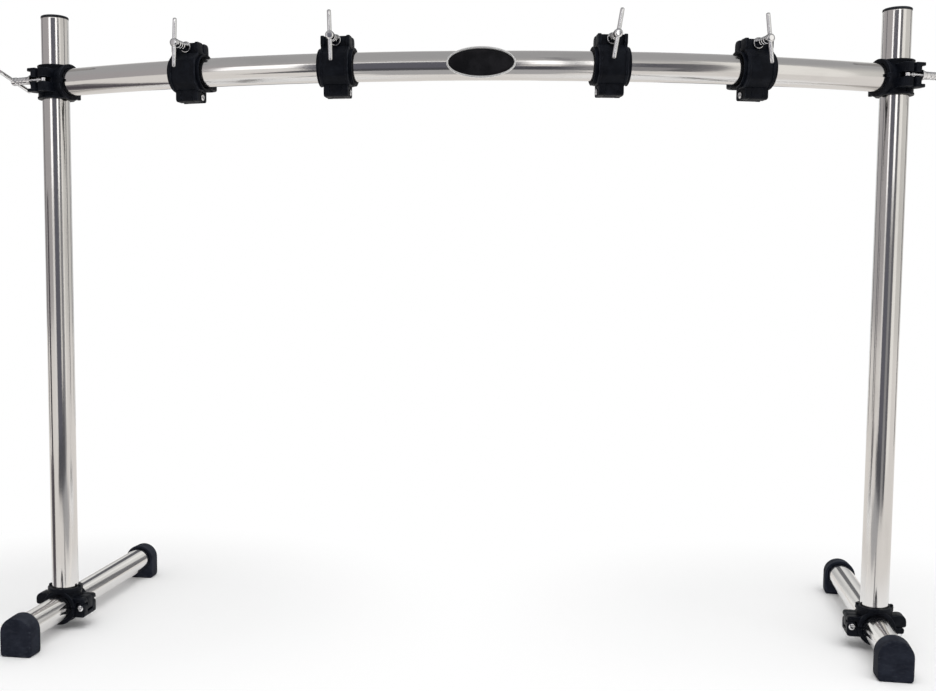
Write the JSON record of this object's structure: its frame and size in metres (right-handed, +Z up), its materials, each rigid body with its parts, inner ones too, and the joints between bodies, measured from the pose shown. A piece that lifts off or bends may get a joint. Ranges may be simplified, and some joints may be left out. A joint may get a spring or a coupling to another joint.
{
  "type": "drum rack frame",
  "caption": "Curved bar on two uprights with cross feet, hinged tube clamps with wing nuts, sliding accessory clamps along the bar and rubber soles.",
  "frame": {"origin": "on the floor, under the middle of the part", "axes": "+X along the bar to the right as seen from the front, -Y towards the front, where the bar bows out, +Z up"},
  "size_m": [1.3081, 0.4554, 0.8924],
  "materials": {
    "tube_chrome": "polished",
    "bright_hardware": "bright plated",
    "clamp_plastic": "moulded, fine grain",
    "foot_rubber": "matt",
    "cap_plastic": "matt",
    "badge_dark": "satin",
    "badge_rim": "satin"
  },
  "bodies": {
    "bar": {"curved_bar": "tube_chrome", "badge_plate": "badge_dark", "badge_rim": "badge_rim", "top_clamp_left_body": "clamp_plastic", "top_clamp_right_body": "clamp_plastic", "top_clamp_left_hinge_pin": "bright_hardware", "top_clamp_right_hinge_pin": "bright_hardware"},
    "clamp_one_carrier": {"clamp_one_rear_jaw": "clamp_plastic", "clamp_one_hinge_pin": "bright_hardware", "clamp_one_socket_screw": "bright_hardware"},
    "clamp_one_jaw_body": {"clamp_one_front_jaw": "clamp_plastic"},
    "clamp_one_bolt_body": {"clamp_one_swing_bolt": "bright_hardware"},
    "clamp_one_nut_body": {"clamp_one_wing_nut": "bright_hardware"},
    "clamp_two_carrier": {"clamp_two_rear_jaw": "clamp_plastic", "clamp_two_hinge_pin": "bright_hardware", "clamp_two_socket_screw": "bright_hardware"},
    "clamp_two_jaw_body": {"clamp_two_front_jaw": "clamp_plastic"},
    "clamp_two_bolt_body": {"clamp_two_swing_bolt": "bright_hardware"},
    "clamp_two_nut_body": {"clamp_two_wing_nut": "bright_hardware"},
    "clamp_three_carrier": {"clamp_three_rear_jaw": "clamp_plastic", "clamp_three_hinge_pin": "bright_hardware", "clamp_three_socket_screw": "bright_hardware"},
    "clamp_three_jaw_body": {"clamp_three_front_jaw": "clamp_plastic"},
    "clamp_three_bolt_body": {"clamp_three_swing_bolt": "bright_hardware"},
    "clamp_three_nut_body": {"clamp_three_wing_nut": "bright_hardware"},
    "clamp_four_carrier": {"clamp_four_rear_jaw": "clamp_plastic", "clamp_four_hinge_pin": "bright_hardware", "clamp_four_socket_screw": "bright_hardware"},
    "clamp_four_jaw_body": {"clamp_four_front_jaw": "clamp_plastic"},
    "clamp_four_bolt_body": {"clamp_four_swing_bolt": "bright_hardware"},
    "clamp_four_nut_body": {"clamp_four_wing_nut": "bright_hardware"},
    "upright_left_body": {"upright_left": "tube_chrome", "upright_cap_left": "cap_plastic"},
    "top_clamp_left_jaw_body": {"top_clamp_left_jaw": "clamp_plastic"},
    "top_clamp_left_bolt_body": {"top_clamp_left_swing_bolt": "bright_hardware"},
    "top_clamp_left_nut_body": {"top_clamp_left_wing_nut": "bright_hardware"},
    "base_clamp_left_carrier": {"base_clamp_left_body": "clamp_plastic", "base_clamp_left_hinge_pin": "bright_hardware"},
    "foot_left_body": {"foot_tube_left": "tube_chrome", "foot_left_front": "foot_rubber", "foot_left_back": "foot_rubber"},
    "base_clamp_left_jaw_body": {"base_clamp_left_jaw": "clamp_plastic"},
    "base_clamp_left_bolt_body": {"base_clamp_left_key_bolt": "bright_hardware"},
    "upright_right_body": {"upright_right": "tube_chrome", "upright_cap_right": "cap_plastic"},
    "top_clamp_right_jaw_body": {"top_clamp_right_jaw": "clamp_plastic"},
    "top_clamp_right_bolt_body": {"top_clamp_right_swing_bolt": "bright_hardware"},
    "top_clamp_right_nut_body": {"top_clamp_right_wing_nut": "bright_hardware"},
    "base_clamp_right_carrier": {"base_clamp_right_body": "clamp_plastic", "base_clamp_right_hinge_pin": "bright_hardware"},
    "foot_right_body": {"foot_tube_right": "tube_chrome", "foot_right_front": "foot_rubber", "foot_right_back": "foot_rubber"},
    "base_clamp_right_jaw_body": {"base_clamp_right_jaw": "clamp_plastic"},
    "base_clamp_right_bolt_body": {"base_clamp_right_key_bolt": "bright_hardware"}
  },
  "joints": [
    {"name": "clamp_one_travel", "type": "hinge", "parent": "bar", "child": "clamp_one_carrier", "pos_m": [0.00325, 1.37335, 0.798], "axis": [0, 0, 1], "range_deg": [-4.7, 2.5]},
    {"name": "clamp_one_bolt_swing", "type": "hinge", "parent": "clamp_one_carrier", "child": "clamp_one_bolt_body", "pos_m": [-0.36803, -0.13481, 0.831], "axis": [-0.971, 0.239, 0], "range_deg": [0, 75]},
    {"name": "clamp_one_jaw_open", "type": "hinge", "parent": "clamp_one_carrier", "child": "clamp_one_jaw_body", "pos_m": [-0.36971, -0.14161, 0.7654], "axis": [0.971, -0.239, 0], "range_deg": [0, 15.5]},
    {"name": "clamp_one_nut_back_off", "type": "slide", "parent": "clamp_one_bolt_body", "child": "clamp_one_nut_body", "axis": [-0.239, -0.971, 0], "range_m": [0, 0.0162]},
    {"name": "clamp_two_travel", "type": "hinge", "parent": "bar", "child": "clamp_two_carrier", "pos_m": [0.00325, 1.37335, 0.798], "axis": [0, 0, 1], "range_deg": [-2.5, 2.8]},
    {"name": "clamp_two_bolt_swing", "type": "hinge", "parent": "clamp_two_carrier", "child": "clamp_two_bolt_body", "pos_m": [-0.1618, -0.17105, 0.831], "axis": [-0.9943, 0.1063, 0], "range_deg": [0, 75]},
    {"name": "clamp_two_jaw_open", "type": "hinge", "parent": "clamp_two_carrier", "child": "clamp_two_jaw_body", "pos_m": [-0.16255, -0.17801, 0.7654], "axis": [0.9943, -0.1063, 0], "range_deg": [0, 15.5]},
    {"name": "clamp_two_nut_back_off", "type": "slide", "parent": "clamp_two_bolt_body", "child": "clamp_two_nut_body", "axis": [-0.1063, -0.9943, 0], "range_m": [0, 0.0162]},
    {"name": "clamp_three_travel", "type": "hinge", "parent": "bar", "child": "clamp_three_carrier", "pos_m": [0.00325, 1.37335, 0.798], "axis": [0, 0, 1], "range_deg": [-3, 2.3]},
    {"name": "clamp_three_bolt_swing", "type": "hinge", "parent": "clamp_three_carrier", "child": "clamp_three_bolt_body", "pos_m": [0.19307, -0.1682, 0.831], "axis": [-0.9925, -0.1222, 0], "range_deg": [0, 75]},
    {"name": "clamp_three_jaw_open", "type": "hinge", "parent": "clamp_three_carrier", "child": "clamp_three_jaw_body", "pos_m": [0.19393, -0.17515, 0.7654], "axis": [0.9925, 0.1222, 0], "range_deg": [0, 15.5]},
    {"name": "clamp_three_nut_back_off", "type": "slide", "parent": "clamp_three_bolt_body", "child": "clamp_three_nut_body", "axis": [0.1222, -0.9925, 0], "range_m": [0, 0.0162]},
    {"name": "clamp_four_travel", "type": "hinge", "parent": "bar", "child": "clamp_four_carrier", "pos_m": [0.00325, 1.37335, 0.798], "axis": [0, 0, 1], "range_deg": [-2.2, 4.3]},
    {"name": "clamp_four_bolt_swing", "type": "hinge", "parent": "clamp_four_carrier", "child": "clamp_four_bolt_body", "pos_m": [0.38399, -0.13245, 0.831], "axis": [-0.9695, -0.2451, 0], "range_deg": [0, 75]},
    {"name": "clamp_four_jaw_open", "type": "hinge", "parent": "clamp_four_carrier", "child": "clamp_four_jaw_body", "pos_m": [0.38571, -0.13924, 0.7654], "axis": [0.9695, 0.2451, 0], "range_deg": [0, 15.5]},
    {"name": "clamp_four_nut_back_off", "type": "slide", "parent": "clamp_four_bolt_body", "child": "clamp_four_nut_body", "axis": [0.2451, -0.9695, 0], "range_m": [0, 0.0162]},
    {"name": "leg_height_left", "type": "slide", "parent": "bar", "child": "upright_left_body", "axis": [0, 0, -1], "range_m": [-0.42, 0.055]},
    {"name": "top_clamp_left_bolt_swing", "type": "hinge", "parent": "bar", "child": "top_clamp_left_bolt_body", "pos_m": [-0.59146, -0.10563, 0.798], "axis": [0, 0, 1], "range_deg": [0, 75]},
    {"name": "top_clamp_left_jaw_open", "type": "hinge", "parent": "bar", "child": "top_clamp_left_jaw_body", "pos_m": [-0.57561, -0.0416, 0.798], "axis": [0, 0, -1], "range_deg": [0, 15.5]},
    {"name": "top_clamp_left_nut_back_off", "type": "slide", "parent": "top_clamp_left_bolt_body", "child": "top_clamp_left_nut_body", "axis": [-0.9397, 0.342, 0], "range_m": [0, 0.0162]},
    {"name": "foot_swivel_left", "type": "hinge", "parent": "upright_left_body", "child": "base_clamp_left_carrier", "pos_m": [-0.58676, -0.07223, 0.0325], "axis": [0, 0, 1], "range_deg": [-40, 40]},
    {"name": "foot_reach_left", "type": "slide", "parent": "base_clamp_left_carrier", "child": "foot_left_body", "axis": [0.0958, 0.9954, 0], "range_m": [-0.12, 0.08]},
    {"name": "base_clamp_left_jaw_open", "type": "hinge", "parent": "base_clamp_left_carrier", "child": "base_clamp_left_jaw_body", "pos_m": [-0.55431, -0.07536, 0.0325], "axis": [-0.0958, -0.9954, 0], "range_deg": [0, 5]},
    {"name": "base_clamp_left_key_bolt_back_off", "type": "slide", "parent": "base_clamp_left_carrier", "child": "base_clamp_left_bolt_body", "axis": [0, 0, -1], "range_m": [0, 0.0065]},
    {"name": "leg_height_right", "type": "slide", "parent": "bar", "child": "upright_right_body", "axis": [0, 0, -1], "range_m": [-0.42, 0.055]},
    {"name": "top_clamp_right_bolt_swing", "type": "hinge", "parent": "bar", "child": "top_clamp_right_bolt_body", "pos_m": [0.59795, -0.10563, 0.798], "axis": [0, 0, -1], "range_deg": [0, 75]},
    {"name": "top_clamp_right_jaw_open", "type": "hinge", "parent": "bar", "child": "top_clamp_right_jaw_body", "pos_m": [0.5821, -0.0416, 0.798], "axis": [0, 0, 1], "range_deg": [0, 15.5]},
    {"name": "top_clamp_right_nut_back_off", "type": "slide", "parent": "top_clamp_right_bolt_body", "child": "top_clamp_right_nut_body", "axis": [0.9397, 0.342, 0], "range_m": [0, 0.0162]},
    {"name": "foot_swivel_right", "type": "hinge", "parent": "upright_right_body", "child": "base_clamp_right_carrier", "pos_m": [0.59325, -0.07223, 0.0325], "axis": [0, 0, 1], "range_deg": [-40, 40]},
    {"name": "foot_reach_right", "type": "slide", "parent": "base_clamp_right_carrier", "child": "foot_right_body", "axis": [0.1305, 0.9914, 0], "range_m": [-0.12, 0.08]},
    {"name": "base_clamp_right_jaw_open", "type": "hinge", "parent": "base_clamp_right_carrier", "child": "base_clamp_right_jaw_body", "pos_m": [0.56092, -0.06797, 0.0325], "axis": [0.1305, 0.9914, 0], "range_deg": [0, 5]},
    {"name": "base_clamp_right_key_bolt_back_off", "type": "slide", "parent": "base_clamp_right_carrier", "child": "base_clamp_right_bolt_body", "axis": [0, 0, -1], "range_m": [0, 0.0065]}
  ],
  "couplings": [
    {"joint": "clamp_one_jaw_open", "follows": "clamp_one_bolt_swing", "ratio": 0.2},
    {"joint": "clamp_one_nut_back_off", "follows": "clamp_one_bolt_swing", "m_per_rad": 0.012032},
    {"joint": "clamp_two_jaw_open", "follows": "clamp_two_bolt_swing", "ratio": 0.2},
    {"joint": "clamp_two_nut_back_off", "follows": "clamp_two_bolt_swing", "m_per_rad": 0.012032},
    {"joint": "clamp_three_jaw_open", "follows": "clamp_three_bolt_swing", "ratio": 0.2},
    {"joint": "clamp_three_nut_back_off", "follows": "clamp_three_bolt_swing", "m_per_rad": 0.012032},
    {"joint": "clamp_four_jaw_open", "follows": "clamp_four_bolt_swing", "ratio": 0.2},
    {"joint": "clamp_four_nut_back_off", "follows": "clamp_four_bolt_swing", "m_per_rad": 0.012032},
    {"joint": "top_clamp_left_jaw_open", "follows": "top_clamp_left_bolt_swing", "ratio": 0.2},
    {"joint": "top_clamp_left_nut_back_off", "follows": "top_clamp_left_bolt_swing", "m_per_rad": 0.012032},
    {"joint": "base_clamp_left_key_bolt_back_off", "follows": "base_clamp_left_jaw_open", "m_per_rad": 0.07162},
    {"joint": "top_clamp_right_jaw_open", "follows": "top_clamp_right_bolt_swing", "ratio": 0.2},
    {"joint": "top_clamp_right_nut_back_off", "follows": "top_clamp_right_bolt_swing", "m_per_rad": 0.012032},
    {"joint": "base_clamp_right_key_bolt_back_off", "follows": "base_clamp_right_jaw_open", "m_per_rad": 0.07162},
    {"joint": "leg_height_right", "follows": "leg_height_left", "ratio": 1}
  ]
}
